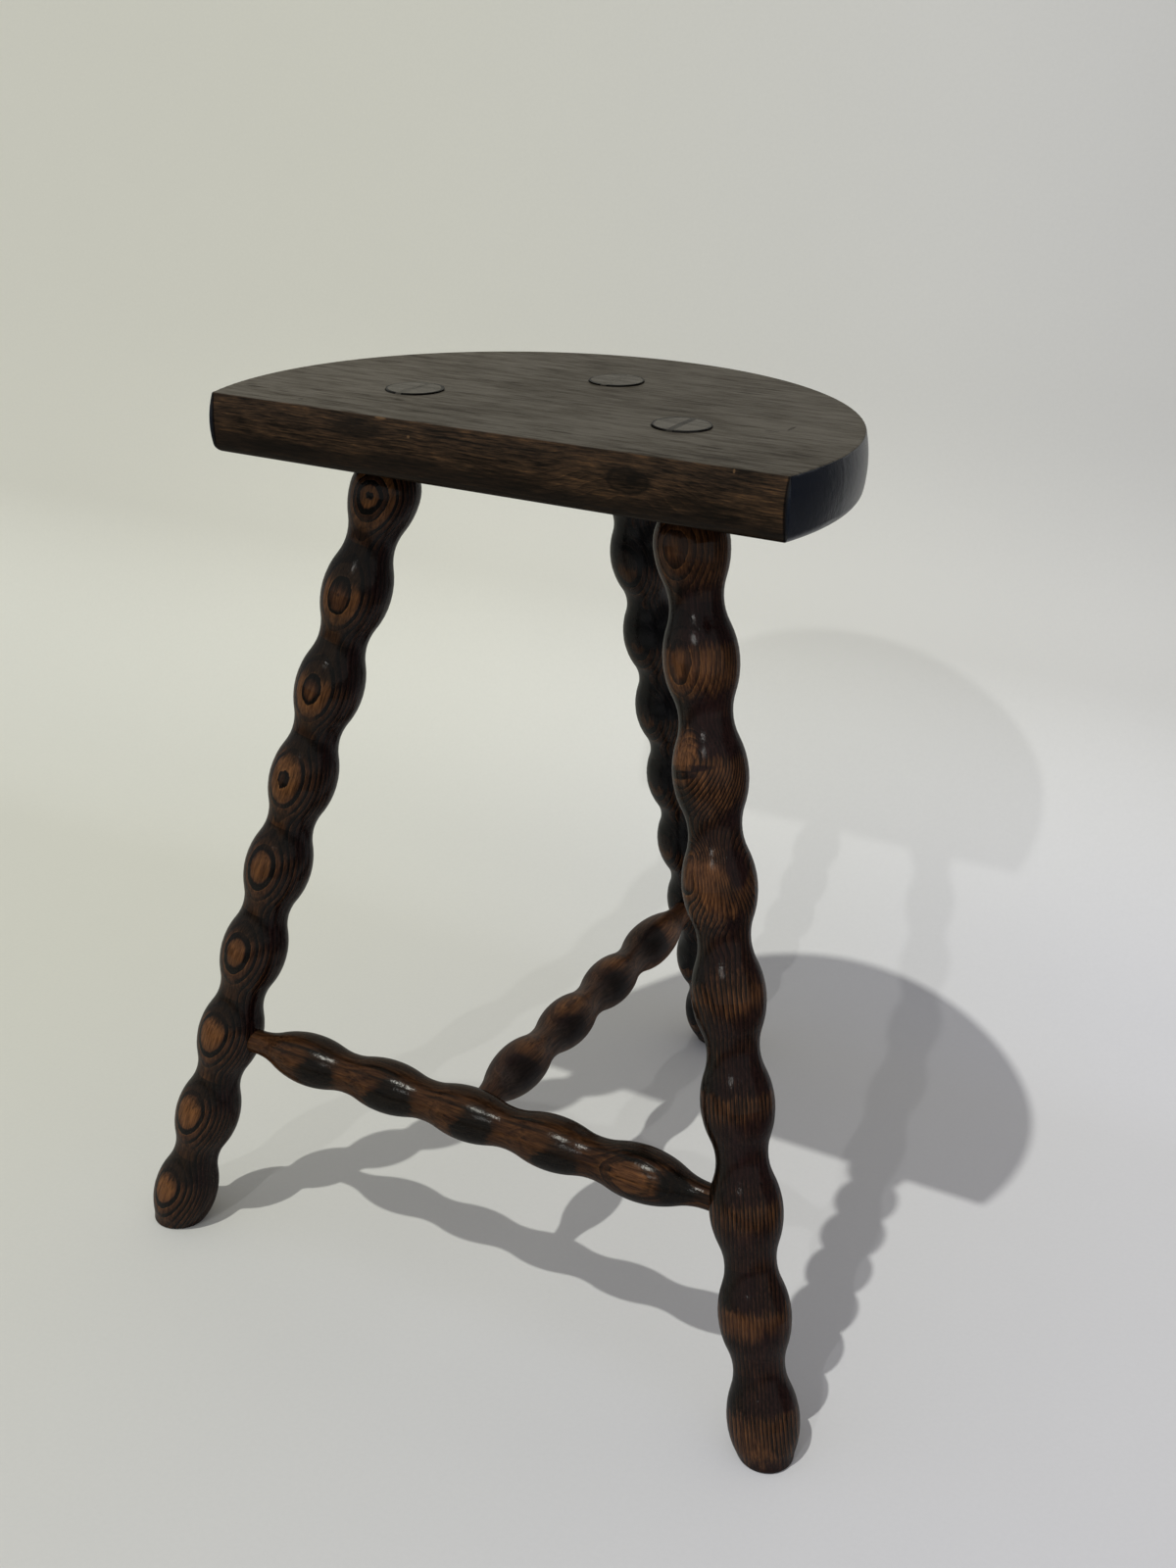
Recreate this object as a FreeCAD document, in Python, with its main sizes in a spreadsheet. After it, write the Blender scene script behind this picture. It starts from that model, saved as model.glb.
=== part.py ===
import FreeCAD, Part
import math
import os
import Sketcher

# A three-legged stool with a half-round plank seat and turned bobbin legs.
# Millimetres, +Z up. The straight front edge of the seat faces -Y. The origin is on the
# floor, in the middle of the stool's width and depth.

SIZES = {
    # The seat board: a disc cut straight across the front.
    "seat_height": 450,
    "seat_radius": 148.3,
    "seat_depth": 188.2,
    "seat_thickness": 28,
    "edge_bulge": 1.8,
    "top_edge_round": 1.2,
    "bottom_edge_round": 5,
    # Where the legs pass through the seat's top, from the front edge and across.
    "front_tenon_spacing": 138,
    "front_tenon_setback": 55,
    "rear_tenon_setback": 124.6,
    # How far each foot stands out from its own tenon.
    "front_foot_out_x": 107.3,
    "front_foot_out_y": 90.1,
    "rear_foot_out_y": 160.1,
    # The front feet's rims reach this much further past their centres than the rear foot's.
    "front_rim_extra": 1.7,
    # The legs, measured along their axis: the first crest from the seat's top, the last from the floor.
    "leg_bobbins": 9,
    "leg_first_crest": 50.3,
    "leg_foot_length": 18.7,
    "leg_bobbin_diameter": 34,
    "leg_neck_diameter": 24.1,
    "leg_tenon_diameter": 26,
    "tenon_proud": 0.8,
    "foot_round": 1.5,
    # The wedge in the top of each leg's tenon.
    "wedge_thickness": 3,
    "wedge_tip": 1,
    "wedge_depth": 22,
    # The stretcher between the front legs.
    "front_bobbins": 5,
    "front_bobbin_diameter": 27,
    "front_neck_diameter": 20.5,
    "front_taper_length": 34.4,
    # The stretcher from the middle of the front one to the rear leg.
    "mid_bobbins": 4,
    "mid_bobbin_diameter": 25.7,
    "mid_neck_diameter": 18.1,
    "mid_front_taper_length": 33.8,
    "mid_rear_taper_length": 40.9,
    # The stretchers' round tenons, and their blind sockets at one bobbin of each leg.
    "stretcher_bobbin": 7,
    "stretcher_tenon_diameter": 12.5,
    "leg_socket_past_axis": 6,
    "bobbin_socket_past_axis": 4,
    "socket_end_gap": 1,
    # A tenon shows straight for this much before its bobbin swells.
    "tenon_bare": 0.5,
    "fit_clearance": 0.05,
    # The crest arc's part of a bobbin's curve; the hollow at the neck takes the rest.
    "crest_share": 0.61,
    "cut_overrun": 5,
}

doc = FreeCAD.newDocument("bobbin_stool")

sheet = doc.addObject("Spreadsheet::Sheet", "sizes")
for row, (alias, value) in enumerate(SIZES.items(), 1):
    sheet.set(f"A{row}", alias)
    sheet.set(f"B{row}", str(value))
    sheet.setAlias(f"B{row}", alias)
doc.recompute()


# Expressions worked out from the sheet, as text.
def size(name):
    return f"sizes.{name}"


def half(expression):
    return f"({expression}) / 2"


def length_of(*runs):
    return "sqrt(" + " + ".join(f"({run}) ^ 2" for run in runs) + ")"


def both_radii(run, rise):
    """What the radii of two tangent arcs that cover the run and the rise add up to."""
    return f"((({run}) ^ 2 + ({rise}) ^ 2) / (2 * ({rise})))"


def crest_radius_of(run, rise):
    return f"{size('crest_share')} * {both_radii(run, rise)}"


def hollow_radius_of(run, rise):
    return f"(1 - {size('crest_share')}) * {both_radii(run, rise)}"


HEIGHT = size("seat_height")
OVERRUN = size("cut_overrun")
CLEARANCE = size("fit_clearance")
LEG_CREST = half(size("leg_bobbin_diameter"))
LEG_NECK = half(size("leg_neck_diameter"))
LEG_TENON = half(size("leg_tenon_diameter"))
FRONT_CREST = half(size("front_bobbin_diameter"))
FRONT_NECK = half(size("front_neck_diameter"))
MID_CREST = half(size("mid_bobbin_diameter"))
MID_NECK = half(size("mid_neck_diameter"))
STRETCHER_TENON = half(size("stretcher_tenon_diameter"))

# The seat's place, so that the origin is in the middle of the stool's whole depth.
FRONT_FOOT_REACH = f"({size('front_foot_out_y')} - {size('front_tenon_setback')})"
REAR_FOOT_REACH = f"({size('rear_foot_out_y')} + {size('rear_tenon_setback')})"
SEAT_FRONT = f"({FRONT_FOOT_REACH} - {REAR_FOOT_REACH} + {size('front_rim_extra')}) / 2"
SEAT_BACK = f"({SEAT_FRONT} + {size('seat_depth')})"
SEAT_CENTRE = f"({SEAT_BACK} - {size('seat_radius')})"
SEAT_UNDERSIDE = f"({HEIGHT} - {size('seat_thickness')})"
FRONT_TENON_Y = f"({SEAT_FRONT} + {size('front_tenon_setback')})"
REAR_TENON_Y = f"({SEAT_FRONT} + {size('rear_tenon_setback')})"

# Each leg's place at the seat's top, and how far its foot stands out from there.
LEGS = {
    "front_left": {
        "top": (f"-{half(size('front_tenon_spacing'))}", FRONT_TENON_Y),
        "out": (f"-{size('front_foot_out_x')}", f"-{size('front_foot_out_y')}"),
    },
    "front_right": {
        "top": (half(size("front_tenon_spacing")), FRONT_TENON_Y),
        "out": (size("front_foot_out_x"), f"-{size('front_foot_out_y')}"),
    },
    "rear": {
        "top": ("0", REAR_TENON_Y),
        "out": ("0", size("rear_foot_out_y")),
    },
}
for leg in LEGS.values():
    leg["flat"] = length_of(*leg["out"])
    leg["length"] = length_of(*leg["out"], HEIGHT)

# All three legs are turned to one pattern, laid out on the front leg's length.
LAID_OUT = f"({LEGS['front_left']['length']} - {size('leg_first_crest')} - {size('leg_foot_length')})"
LEG_PITCH = f"({LAID_OUT} / ({size('leg_bobbins')} - 1))"
LAST_CREST = f"({size('leg_first_crest')} + {LAID_OUT})"
STRETCHER_CREST = f"({size('leg_first_crest')} + ({size('stretcher_bobbin')} - 1) * {LEG_PITCH})"


def point_on_leg(leg, distance):
    """The x, y and z of the axis at this distance below the seat's top."""
    share = f"({distance}) / {leg['length']}"
    flat = [f"({top} + ({out}) * {share})" for top, out in zip(leg["top"], leg["out"])]
    return flat + [f"({HEIGHT} - {HEIGHT} * {share})"]


def leg_placement(leg, distance):
    """Local Z runs up the leg's axis, from the point at this distance below the seat's top."""
    x, y, z = point_on_leg(leg, distance)
    out_x, out_y = leg["out"]
    lean = f"atan({leg['flat']} / {HEIGHT})"
    return f"placement(vector({x}; {y}; {z}); rotation(vector({out_y}; -({out_x}); 0); {lean}))"


def leg_surface_reach(leg, across):
    """How far a leaning leg's bobbin reaches along a stretcher's axis, over the whole tenon."""
    slope = f"({LEG_CREST} * {leg['length']} + {STRETCHER_TENON} * {across})"
    return f"({slope} / sqrt({leg['length']} ^ 2 - {across} ^ 2) + {size('tenon_bare')})"


# The two stretcher axes: from front leg to front leg, and from their middle to the rear leg.
FRONT_JOINT = point_on_leg(LEGS["front_right"], STRETCHER_CREST)
REAR_JOINT = point_on_leg(LEGS["rear"], STRETCHER_CREST)
FRONT_HALF = FRONT_JOINT[0]
FRONT_LEG_REACH = leg_surface_reach(LEGS["front_right"], size("front_foot_out_x"))
FRONT_OUTER_CREST = f"({FRONT_HALF} - {FRONT_LEG_REACH} - {size('front_taper_length')})"
FRONT_PITCH = f"(2 * {FRONT_OUTER_CREST} / ({size('front_bobbins')} - 1))"
MID_RUN = f"({REAR_JOINT[1]} - {FRONT_JOINT[1]})"
MID_RISE = f"({REAR_JOINT[2]} - {FRONT_JOINT[2]})"
MID_LENGTH = length_of(MID_RUN, MID_RISE)
MID_LEG_REACH = leg_surface_reach(LEGS["rear"], size("rear_foot_out_y"))
MID_FIRST_CREST = f"({FRONT_CREST} + {size('tenon_bare')} + {size('mid_front_taper_length')})"
MID_LAST_CREST = f"({MID_LENGTH} - {MID_LEG_REACH} - {size('mid_rear_taper_length')})"
MID_PITCH = f"(({MID_LAST_CREST} - {MID_FIRST_CREST}) / ({size('mid_bobbins')} - 1))"

# How far the tenons and the sockets run past the axis of the leg or bobbin that they enter.
LEG_SOCKET = size("leg_socket_past_axis")
BOBBIN_SOCKET = size("bobbin_socket_past_axis")
LEG_TENON_PAST = f"({LEG_SOCKET} - {size('socket_end_gap')})"
BOBBIN_TENON_PAST = f"({BOBBIN_SOCKET} - {size('socket_end_gap')})"


def front_placement(x):
    """Local Z runs along the front stretcher, towards +X."""
    return f"placement(vector({x}; {FRONT_JOINT[1]}; {FRONT_JOINT[2]}); rotation(vector(0; 1; 0); 90))"


def mid_placement(distance):
    """Local Z runs from the front stretcher's axis to the rear leg's."""
    y = f"({FRONT_JOINT[1]} + {MID_RUN} * ({distance}) / {MID_LENGTH})"
    z = f"({FRONT_JOINT[2]} + {MID_RISE} * ({distance}) / {MID_LENGTH})"
    tilt = f"-acos({MID_RISE} / {MID_LENGTH})"
    return f"placement(vector(0; {y}; {z}); rotation(vector(1; 0; 0); {tilt}))"


# How a sketch numbers the ends of a line or arc, an arc's centre, the origin and the axes.
START_INDEX, END_INDEX, CENTRE_INDEX = 1, 2, 3
ORIGIN_INDEX = (-1, 1)
LEVEL_AXIS_INDEX = -1
UPRIGHT_AXIS_INDEX = -2


def new_body(name, placement):
    body = doc.addObject("PartDesign::Body", name)
    body.setExpression("Placement", placement)
    return body


def origin_feature(body, role):
    return next(feature for feature in body.Origin.OriginFeatures if feature.Role == role)


def new_sketch(body, name, start="0", downward=False):
    """A sketch on the body's XZ plane, drawn from a start height upward or downward."""
    sketch = body.newObject("Sketcher::SketchObject", name)
    sketch.AttachmentSupport = (origin_feature(body, "XZ_Plane"), [""])
    sketch.MapMode = "FlatFace"
    turn = "180" if downward else "0"
    offset = f"placement(vector(0; {start}; 0); rotation(vector(1; 0; 0); {turn}))"
    sketch.setExpression("AttachmentOffset", offset)
    return sketch


def line(sketch, start, end):
    return sketch.addGeometry(Part.LineSegment(FreeCAD.Vector(*start, 0), FreeCAD.Vector(*end, 0)))


def arc(sketch, centre, radius, start, end):
    """An arc drawn anticlockwise between two angles, in radians."""
    circle = Part.Circle(FreeCAD.Vector(*centre, 0), FreeCAD.Vector(0, 0, 1), radius)
    return sketch.addGeometry(Part.ArcOfCircle(circle, start, end))


def constrain(sketch, kind, *place):
    sketch.addConstraint(Sketcher.Constraint(kind, *place))


def value_of(expression):
    """The number that an expression gives with the sheet's values."""
    result = sheet.evalExpression(expression)
    return float(getattr(result, "Value", result))


def measure(sketch, kind, place, expression):
    """A dimension bound to an expression."""
    index = sketch.addConstraint(Sketcher.Constraint(kind, *place, value_of(expression)))
    sketch.setExpression(f"Constraints[{index}]", expression)


def add_turning(body, name, sketch):
    """A full turn about the sketch's upright axis."""
    turning = body.newObject("PartDesign::Revolution", name)
    turning.Profile = (sketch, [""])
    turning.ReferenceAxis = (sketch, ["V_Axis"])
    turning.Angle = 360
    return turning


def add_bobbin_row(body, name, start, crest, neck, pitch, bobbins):
    """Bobbins from crest to crest: a half crest, a neck and a half crest, turned and repeated."""
    rise = f"({crest} - {neck})"
    crest_radius = crest_radius_of(half(pitch), rise)
    hollow_radius = hollow_radius_of(half(pitch), rise)
    hollow_centre = f"{neck} + {hollow_radius}"
    crest_now, pitch_now = value_of(crest), value_of(pitch)
    crest_radius_now, hollow_radius_now = value_of(crest_radius), value_of(hollow_radius)
    crest_centre_now = crest_now - crest_radius_now
    middle_now = (value_of(hollow_centre), pitch_now / 2)
    turn = math.asin(pitch_now / 2 / (crest_radius_now + hollow_radius_now))

    sketch = new_sketch(body, name + "_profile", start)
    bottom = line(sketch, (0, 0), (crest_now, 0))
    low_crest = arc(sketch, (crest_centre_now, 0), crest_radius_now, 0, turn)
    hollow = arc(sketch, middle_now, hollow_radius_now, math.pi - turn, math.pi + turn)
    high_crest = arc(sketch, (crest_centre_now, pitch_now), crest_radius_now, -turn, 0)
    top = line(sketch, (crest_now, pitch_now), (0, pitch_now))
    side = line(sketch, (0, pitch_now), (0, 0))
    constrain(sketch, "Coincident", bottom, START_INDEX, *ORIGIN_INDEX)
    constrain(sketch, "Coincident", bottom, END_INDEX, low_crest, START_INDEX)
    constrain(sketch, "Tangent", low_crest, END_INDEX, hollow, END_INDEX)
    constrain(sketch, "Tangent", hollow, START_INDEX, high_crest, START_INDEX)
    constrain(sketch, "Coincident", high_crest, END_INDEX, top, START_INDEX)
    constrain(sketch, "Coincident", top, END_INDEX, side, START_INDEX)
    constrain(sketch, "Coincident", side, END_INDEX, bottom, START_INDEX)
    constrain(sketch, "Horizontal", bottom)
    constrain(sketch, "Horizontal", top)
    constrain(sketch, "Vertical", side)
    constrain(sketch, "PointOnObject", low_crest, CENTRE_INDEX, bottom)
    constrain(sketch, "PointOnObject", high_crest, CENTRE_INDEX, top)
    measure(sketch, "DistanceX", (bottom, START_INDEX, bottom, END_INDEX), crest)
    measure(sketch, "DistanceX", (top, END_INDEX, top, START_INDEX), crest)
    measure(sketch, "DistanceY", (bottom, START_INDEX, side, START_INDEX), pitch)
    measure(sketch, "Radius", (low_crest,), crest_radius)
    measure(sketch, "DistanceX", (*ORIGIN_INDEX, hollow, CENTRE_INDEX), hollow_centre)
    measure(sketch, "DistanceY", (*ORIGIN_INDEX, hollow, CENTRE_INDEX), half(pitch))

    unit = add_turning(body, name + "_unit", sketch)
    row = body.newObject("PartDesign::LinearPattern", name)
    row.Originals = [unit]
    row.Direction = (origin_feature(body, "Z_Axis"), [""])
    row.Mode = "Spacing"
    row.setExpression("Offset", pitch)
    row.setExpression("Occurrences", f"{bobbins} - 1")
    body.Tip = row


def add_end(body, name, start, crest, end, taper, reach, downward=False):
    """From a crest, a half bobbin that tapers to a straight round end."""
    rise = f"({crest} - {end})"
    crest_radius = crest_radius_of(taper, rise)
    hollow_radius = hollow_radius_of(taper, rise)
    crest_now, end_now = value_of(crest), value_of(end)
    taper_now, reach_now = value_of(taper), value_of(reach)
    crest_radius_now, hollow_radius_now = value_of(crest_radius), value_of(hollow_radius)
    hollow_centre_now = (end_now + hollow_radius_now, taper_now)
    turn = math.asin(taper_now / (crest_radius_now + hollow_radius_now))

    sketch = new_sketch(body, name + "_profile", start, downward)
    bottom = line(sketch, (0, 0), (crest_now, 0))
    swell = arc(sketch, (crest_now - crest_radius_now, 0), crest_radius_now, 0, turn)
    hollow = arc(sketch, hollow_centre_now, hollow_radius_now, math.pi, math.pi + turn)
    straight = line(sketch, (end_now, taper_now), (end_now, reach_now))
    top = line(sketch, (end_now, reach_now), (0, reach_now))
    side = line(sketch, (0, reach_now), (0, 0))
    constrain(sketch, "Coincident", bottom, START_INDEX, *ORIGIN_INDEX)
    constrain(sketch, "Coincident", bottom, END_INDEX, swell, START_INDEX)
    constrain(sketch, "Tangent", swell, END_INDEX, hollow, END_INDEX)
    constrain(sketch, "Tangent", hollow, START_INDEX, straight, START_INDEX)
    constrain(sketch, "Coincident", straight, END_INDEX, top, START_INDEX)
    constrain(sketch, "Coincident", top, END_INDEX, side, START_INDEX)
    constrain(sketch, "Coincident", side, END_INDEX, bottom, START_INDEX)
    constrain(sketch, "Horizontal", bottom)
    constrain(sketch, "Vertical", straight)
    constrain(sketch, "Horizontal", top)
    constrain(sketch, "Vertical", side)
    constrain(sketch, "PointOnObject", swell, CENTRE_INDEX, bottom)
    measure(sketch, "DistanceX", (bottom, START_INDEX, bottom, END_INDEX), crest)
    measure(sketch, "Radius", (swell,), crest_radius)
    measure(sketch, "DistanceX", (*ORIGIN_INDEX, straight, START_INDEX), end)
    measure(sketch, "DistanceY", (*ORIGIN_INDEX, straight, START_INDEX), taper)
    measure(sketch, "DistanceY", (*ORIGIN_INDEX, side, START_INDEX), reach)
    return add_turning(body, name, sketch)


def add_cylinder(name, radius, length, placement):
    cylinder = doc.addObject("Part::Cylinder", name)
    cylinder.setExpression("Radius", radius)
    cylinder.setExpression("Height", length)
    cylinder.setExpression("Placement", placement)
    return cylinder


def common(name, *shapes):
    result = doc.addObject("Part::MultiCommon", name)
    result.Shapes = list(shapes)
    return result


def cut(name, base, tool):
    result = doc.addObject("Part::Cut", name)
    result.Base = base
    result.Tool = tool
    return result


# Everything between the floor and the tops of the tenons, which are sawn off level.
SPACE_REACH = f"({size('seat_radius')} + {size('front_foot_out_x')} + {size('rear_foot_out_y')})"
standing_space = doc.addObject("Part::Box", "standing_space")
standing_space.setExpression("Length", f"2 * {SPACE_REACH}")
standing_space.setExpression("Width", f"2 * {SPACE_REACH}")
standing_space.setExpression("Height", f"{HEIGHT} + {size('tenon_proud')}")
standing_space.setExpression(
    "Placement", f"placement(vector(-{SPACE_REACH}; -{SPACE_REACH}; 0); rotation(vector(0; 0; 1); 0))")

# A tenon runs this far above the seat's top before it is sawn off.
TENON_ABOVE = f"({LEG_TENON} + {OVERRUN})"


# The wedge and the kerf that it is driven into share one section.
def draw_wedge(body, name, gap):
    """Upright sides above the seat's top, and below it a taper to the tip."""
    thickness = f"({size('wedge_thickness')} + 2 * {gap})"
    tip = f"({size('wedge_tip')} + 2 * {gap})"
    depth = f"({size('wedge_depth')} + {gap})"
    side_now, tip_now = value_of(half(thickness)), value_of(half(tip))
    depth_now, above_now = value_of(depth), value_of(TENON_ABOVE)

    sketch = new_sketch(body, name)
    left = line(sketch, (-side_now, above_now), (-side_now, 0))
    left_taper = line(sketch, (-side_now, 0), (-tip_now, -depth_now))
    point = line(sketch, (-tip_now, -depth_now), (tip_now, -depth_now))
    right_taper = line(sketch, (tip_now, -depth_now), (side_now, 0))
    right = line(sketch, (side_now, 0), (side_now, above_now))
    top = line(sketch, (side_now, above_now), (-side_now, above_now))
    sides = [left, left_taper, point, right_taper, right, top]
    for this, following in zip(sides, sides[1:] + sides[:1]):
        constrain(sketch, "Coincident", this, END_INDEX, following, START_INDEX)
    constrain(sketch, "Vertical", left)
    constrain(sketch, "Vertical", right)
    constrain(sketch, "Horizontal", top)
    constrain(sketch, "Symmetric", left, END_INDEX, right, START_INDEX, UPRIGHT_AXIS_INDEX)
    constrain(sketch, "Symmetric", point, START_INDEX, point, END_INDEX, UPRIGHT_AXIS_INDEX)
    constrain(sketch, "PointOnObject", left, END_INDEX, LEVEL_AXIS_INDEX)
    measure(sketch, "DistanceX", (left, END_INDEX, right, START_INDEX), thickness)
    measure(sketch, "DistanceX", (point, START_INDEX, point, END_INDEX), tip)
    measure(sketch, "DistanceY", (point, START_INDEX, *ORIGIN_INDEX), depth)
    measure(sketch, "DistanceY", (*ORIGIN_INDEX, top, START_INDEX), TENON_ABOVE)
    return sketch


def make_wedge(leg_name, leg):
    body = new_body(f"wedge_{leg_name}_slip", leg_placement(leg, "0"))
    slip = body.newObject("PartDesign::Pad", f"wedge_{leg_name}_pad")
    slip.Profile = (draw_wedge(body, f"wedge_{leg_name}_profile", "0"), [""])
    slip.SideType = "Symmetric"
    slip.setExpression("Length", f"2 * {TENON_ABOVE}")
    below = f"({size('wedge_depth')} + {OVERRUN})"
    round_space = add_cylinder(
        f"tenon_{leg_name}_space", LEG_TENON, f"{below} + {TENON_ABOVE}", leg_placement(leg, below))
    common(f"wedge_{leg_name}", body, round_space, standing_space)


# A leg: bobbins, a tenon with its kerf, and a foot sawn level with the floor.
def turn_leg(leg_name, leg):
    """The whole turning, still longer than the leg at both ends."""
    body = new_body(f"leg_{leg_name}_turning", leg_placement(leg, "0"))
    add_bobbin_row(
        body, f"leg_{leg_name}_bobbins", f"-{LAST_CREST}", LEG_CREST, LEG_NECK, LEG_PITCH,
        size("leg_bobbins"))

    along_seat = f"{size('seat_thickness')} * {leg['length']} / {HEIGHT}"
    mortise_slant = f"{LEG_TENON} * {leg['flat']} / {HEIGHT}"
    head_taper = f"({size('leg_first_crest')} - {along_seat} - {mortise_slant} - {size('tenon_bare')})"
    add_end(
        body, f"leg_{leg_name}_head", f"-{size('leg_first_crest')}", LEG_CREST, LEG_TENON, head_taper,
        f"{size('leg_first_crest')} + {TENON_ABOVE}")

    foot_taper = half(LEG_PITCH)
    below_crest = f"{leg['length']} - {LAST_CREST} + {LEG_TENON}"
    add_end(
        body, f"leg_{leg_name}_foot", f"-{LAST_CREST}", LEG_CREST, LEG_NECK, foot_taper,
        f"max({below_crest}; {foot_taper}) + {OVERRUN}", downward=True)

    kerf = body.newObject("PartDesign::Pocket", f"leg_{leg_name}_kerf")
    kerf.Profile = (draw_wedge(body, f"leg_{leg_name}_kerf_profile", CLEARANCE), [""])
    kerf.SideType = "Symmetric"
    kerf.Type = "ThroughAll"
    return body


def make_leg(leg_name, leg, socket):
    sawn = common(f"leg_{leg_name}_sawn", turn_leg(leg_name, leg), standing_space)
    bored = cut(f"leg_{leg_name}_bored", sawn, socket)
    doc.recompute()
    near_floor = value_of(CLEARANCE)
    edges = enumerate(bored.Shape.Edges, 1)
    rim = [index for index, edge in edges if edge.BoundBox.ZMax < near_floor]
    foot_round = value_of(size("foot_round"))
    rounded = doc.addObject("Part::Fillet", f"leg_{leg_name}")
    rounded.Base = bored
    rounded.Edges = [(index, foot_round, foot_round) for index in rim]


SOCKET_RADIUS = f"({STRETCHER_TENON} + {CLEARANCE})"
FRONT_SOCKET_LENGTH = f"({LEG_SOCKET} + {FRONT_LEG_REACH} + {OVERRUN})"
MID_SOCKET_LENGTH = f"({LEG_SOCKET} + {MID_LEG_REACH} + {OVERRUN})"
SOCKETS = {
    "front_left": (FRONT_SOCKET_LENGTH, front_placement(f"-({FRONT_HALF} + {LEG_SOCKET})")),
    "front_right": (
        FRONT_SOCKET_LENGTH, front_placement(f"({FRONT_HALF} + {LEG_SOCKET} - {FRONT_SOCKET_LENGTH})")),
    "rear": (MID_SOCKET_LENGTH, mid_placement(f"{MID_LENGTH} + {LEG_SOCKET} - {MID_SOCKET_LENGTH}")),
}
for leg_name, leg in LEGS.items():
    socket = add_cylinder(f"socket_{leg_name}", SOCKET_RADIUS, *SOCKETS[leg_name])
    make_leg(leg_name, leg, socket)
    make_wedge(leg_name, leg)


# The front stretcher, with a socket in its middle bobbin for the other one.
def make_front_stretcher():
    body = new_body("front_stretcher_turning", front_placement("0"))
    add_bobbin_row(
        body, "front_stretcher_bobbins", f"-{FRONT_OUTER_CREST}", FRONT_CREST, FRONT_NECK, FRONT_PITCH,
        size("front_bobbins"))
    end = add_end(
        body, "front_stretcher_end", FRONT_OUTER_CREST, FRONT_CREST, STRETCHER_TENON,
        size("front_taper_length"), f"{FRONT_HALF} + {LEG_TENON_PAST} - {FRONT_OUTER_CREST}")
    other_end = body.newObject("PartDesign::Mirrored", "front_stretcher_other_end")
    other_end.Originals = [end]
    other_end.MirrorPlane = (origin_feature(body, "XY_Plane"), [""])
    body.Tip = other_end

    socket = add_cylinder(
        "socket_front_stretcher", SOCKET_RADIUS, f"{BOBBIN_SOCKET} + {FRONT_CREST} + {OVERRUN}",
        mid_placement(f"-{BOBBIN_SOCKET}"))
    cut("front_stretcher", body, socket)


# The middle stretcher, tapered more slowly towards the rear leg.
def make_mid_stretcher():
    body = new_body("mid_stretcher", mid_placement("0"))
    add_bobbin_row(
        body, "mid_stretcher_bobbins", MID_FIRST_CREST, MID_CREST, MID_NECK, MID_PITCH,
        size("mid_bobbins"))
    add_end(
        body, "mid_stretcher_front_end", MID_FIRST_CREST, MID_CREST, STRETCHER_TENON,
        size("mid_front_taper_length"), f"{MID_FIRST_CREST} + {BOBBIN_TENON_PAST}", downward=True)
    add_end(
        body, "mid_stretcher_rear_end", MID_LAST_CREST, MID_CREST, STRETCHER_TENON,
        size("mid_rear_taper_length"), f"{MID_LENGTH} + {LEG_TENON_PAST} - {MID_LAST_CREST}")


make_front_stretcher()
make_mid_stretcher()


# The seat: a disc with a shaped edge, met by a board with the same edge along its front.
def draw_seat_edge(body, name, reach):
    """A section of the board out to its edge, whose face bulges between two rounds."""
    thickness, bulge = size("seat_thickness"), size("edge_bulge")
    low_round, high_round = size("bottom_edge_round"), size("top_edge_round")
    face_radius = f"(({half(thickness)}) ^ 2 + {bulge} ^ 2) / (2 * {bulge})"
    face_centre = f"{reach} + {bulge} - {face_radius}"
    thickness_now, middle = value_of(thickness), value_of(half(thickness))
    low_now, high_now = value_of(low_round), value_of(high_round)
    face_radius_now, face_centre_now = value_of(face_radius), value_of(face_centre)
    low_angle = -math.asin((middle - low_now) / (face_radius_now - low_now))
    high_angle = math.asin((middle - high_now) / (face_radius_now - high_now))
    low_x = face_centre_now + (face_radius_now - low_now) * math.cos(low_angle)
    high_x = face_centre_now + (face_radius_now - high_now) * math.cos(high_angle)

    sketch = new_sketch(body, name)
    bottom = line(sketch, (0, 0), (low_x, 0))
    low = arc(sketch, (low_x, low_now), low_now, -math.pi / 2, low_angle)
    face = arc(sketch, (face_centre_now, middle), face_radius_now, low_angle, high_angle)
    high = arc(sketch, (high_x, thickness_now - high_now), high_now, high_angle, math.pi / 2)
    top = line(sketch, (high_x, thickness_now), (0, thickness_now))
    side = line(sketch, (0, thickness_now), (0, 0))
    constrain(sketch, "Coincident", bottom, START_INDEX, *ORIGIN_INDEX)
    constrain(sketch, "Tangent", bottom, END_INDEX, low, START_INDEX)
    constrain(sketch, "Tangent", low, END_INDEX, face, START_INDEX)
    constrain(sketch, "Tangent", face, END_INDEX, high, START_INDEX)
    constrain(sketch, "Tangent", high, END_INDEX, top, START_INDEX)
    constrain(sketch, "Coincident", top, END_INDEX, side, START_INDEX)
    constrain(sketch, "Coincident", side, END_INDEX, bottom, START_INDEX)
    constrain(sketch, "Horizontal", bottom)
    constrain(sketch, "Horizontal", top)
    constrain(sketch, "Vertical", side)
    measure(sketch, "DistanceY", (*ORIGIN_INDEX, side, START_INDEX), thickness)
    measure(sketch, "Radius", (low,), low_round)
    measure(sketch, "Radius", (face,), face_radius)
    measure(sketch, "Radius", (high,), high_round)
    measure(sketch, "DistanceX", (*ORIGIN_INDEX, face, CENTRE_INDEX), face_centre)
    measure(sketch, "DistanceY", (*ORIGIN_INDEX, face, CENTRE_INDEX), half(thickness))
    return sketch


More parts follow.
